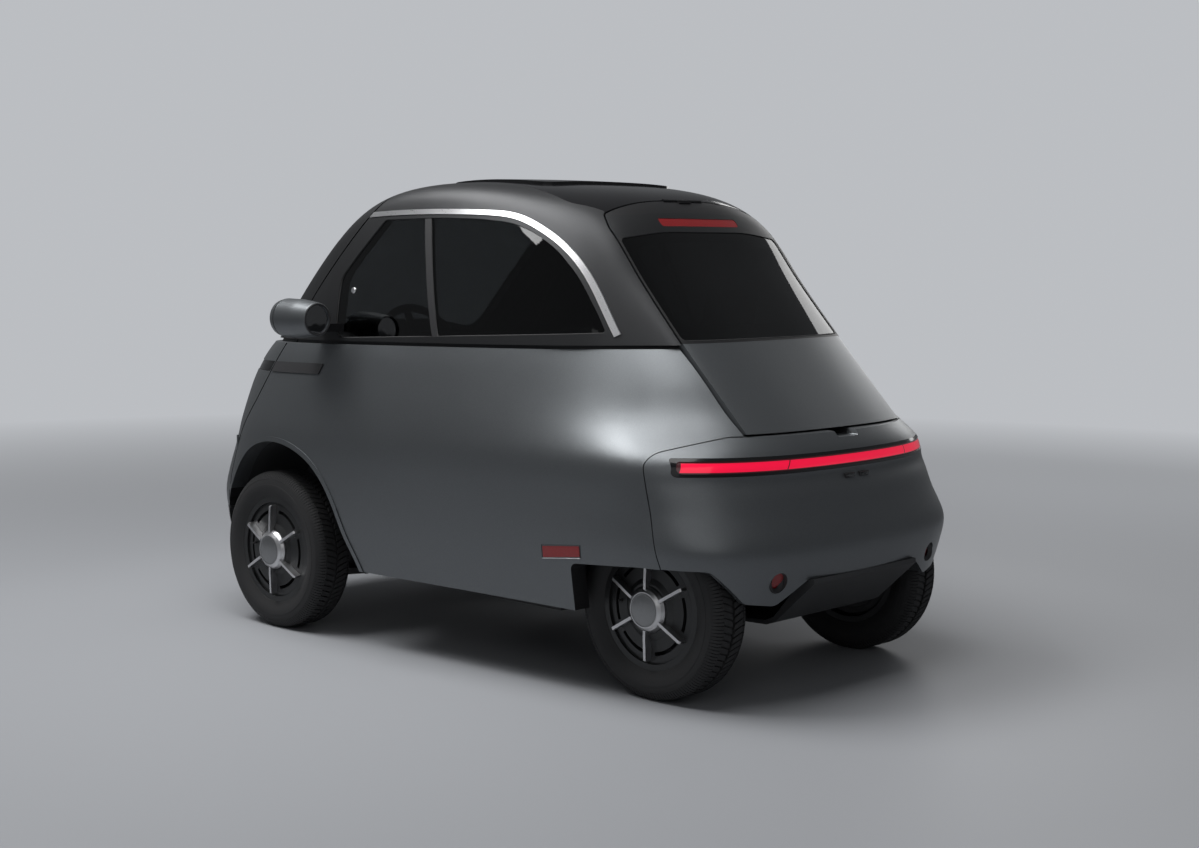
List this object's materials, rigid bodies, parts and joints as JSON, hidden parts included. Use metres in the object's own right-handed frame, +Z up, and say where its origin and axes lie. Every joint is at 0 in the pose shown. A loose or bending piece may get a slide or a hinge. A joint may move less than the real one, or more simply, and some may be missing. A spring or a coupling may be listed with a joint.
{
  "type": "microcar",
  "caption": "Small rounded electric car with a front door that carries the windscreen, a rear hatch, steered front wheels and a narrow rear track.",
  "frame": {"origin": "on the ground under the middle of the car's length and width", "axes": "+X forward, +Y to the car's left, +Z up"},
  "size_m": [2.5155, 1.664, 1.5144],
  "materials": {
    "body_paint": "satin",
    "frame_paint": "satin",
    "gloss_black": "gloss",
    "red_lens": "gloss",
    "dark_trim": "matte",
    "bright_trim": "satin",
    "dark_glass": "gloss",
    "mirror_glass": "gloss",
    "clear_glass": "gloss",
    "underbody": "matte",
    "seat_cloth": "matte",
    "cast_steel": "matte",
    "motor_metal": "matte",
    "tyre": "matte",
    "rim_paint": "satin",
    "bright_metal": "brushed"
  },
  "bodies": {
    "chassis": {"side_panels": "body_paint", "tail_panel": "body_paint", "front_valance": "body_paint", "tail_bezel": "gloss_black", "tail_lens": "red_lens", "reflectors": "red_lens", "side_strips": "dark_trim", "roof_frame": "frame_paint", "window_trims": "bright_trim", "roof_panel": "gloss_black", "sunroof": "gloss_black", "side_glass": "dark_glass", "window_dividers": "dark_trim", "pod_housings": "body_paint", "pod_arms": "gloss_black", "pod_mirrors": "mirror_glass", "headlamp_lenses": "clear_glass", "floor_pan": "underbody", "front_wheelhouses": "underbody", "load_deck": "underbody", "dash_bar": "dark_trim", "rear_tray": "underbody", "seat_base": "dark_trim", "seat": "seat_cloth", "front_arms": "cast_steel", "rear_axle": "cast_steel", "motor_block": "motor_metal", "battery_block": "underbody"},
    "front_door": {"door_panel": "body_paint", "door_frame": "frame_paint", "windscreen": "dark_glass", "front_light": "clear_glass"},
    "rear_hatch": {"hatch_panel": "body_paint", "hatch_frame": "frame_paint", "brake_lamp": "red_lens", "rear_glass": "dark_glass"},
    "steering_wheel_body": {"steering_wheel": "dark_trim"},
    "left_knuckle": {"knuckle_left": "cast_steel"},
    "right_knuckle": {"knuckle_right": "cast_steel"},
    "wheel_front_left": {"tyre_front_left": "tyre", "rim_front_left": "rim_paint", "wheel_trim_front_left": "bright_metal"},
    "wheel_front_right": {"tyre_front_right": "tyre", "rim_front_right": "rim_paint", "wheel_trim_front_right": "bright_metal"},
    "wheel_rear_left": {"tyre_rear_left": "tyre", "rim_rear_left": "rim_paint", "wheel_trim_rear_left": "bright_metal"},
    "wheel_rear_right": {"tyre_rear_right": "tyre", "rim_rear_right": "rim_paint", "wheel_trim_rear_right": "bright_metal"}
  },
  "joints": [
    {"name": "door_hinge", "type": "hinge", "parent": "chassis", "child": "front_door", "pos_m": [0.9305, 0.679, 0.6], "axis": [0, 0, 1], "range_deg": [0, 80]},
    {"name": "hatch_hinge", "type": "hinge", "parent": "chassis", "child": "rear_hatch", "pos_m": [-0.5085, 0, 1.44126], "axis": [0, 1, 0], "range_deg": [0, 70]},
    {"name": "steer_left", "type": "hinge", "parent": "chassis", "child": "left_knuckle", "pos_m": [0.6965, 0.571, 0.2665], "axis": [0, 0, 1], "range_deg": [-30, 30]},
    {"name": "steer_right", "type": "hinge", "parent": "chassis", "child": "right_knuckle", "pos_m": [0.6965, -0.571, 0.2665], "axis": [0, 0, 1], "range_deg": [-30, 30]},
    {"name": "steering_wheel_turn", "type": "hinge", "parent": "chassis", "child": "steering_wheel_body", "pos_m": [0.42378, 0.27, 0.93883], "axis": [-0.8988, 0, 0.4384], "range_deg": [-270, 270]},
    {"name": "front_left_spin", "type": "hinge", "parent": "left_knuckle", "child": "wheel_front_left", "pos_m": [0.6965, 0.641, 0.2665], "axis": [0, 1, 0], "continuous": true},
    {"name": "front_right_spin", "type": "hinge", "parent": "right_knuckle", "child": "wheel_front_right", "pos_m": [0.6965, -0.641, 0.2665], "axis": [0, 1, 0], "continuous": true},
    {"name": "rear_left_spin", "type": "hinge", "parent": "chassis", "child": "wheel_rear_left", "pos_m": [-0.8695, 0.477, 0.2665], "axis": [0, 1, 0], "continuous": true},
    {"name": "rear_right_spin", "type": "hinge", "parent": "chassis", "child": "wheel_rear_right", "pos_m": [-0.8695, -0.477, 0.2665], "axis": [0, 1, 0], "continuous": true}
  ],
  "couplings": [
    {"joint": "steer_right", "follows": "steer_left", "ratio": 1},
    {"joint": "steering_wheel_turn", "follows": "steer_left", "ratio": 9}
  ]
}
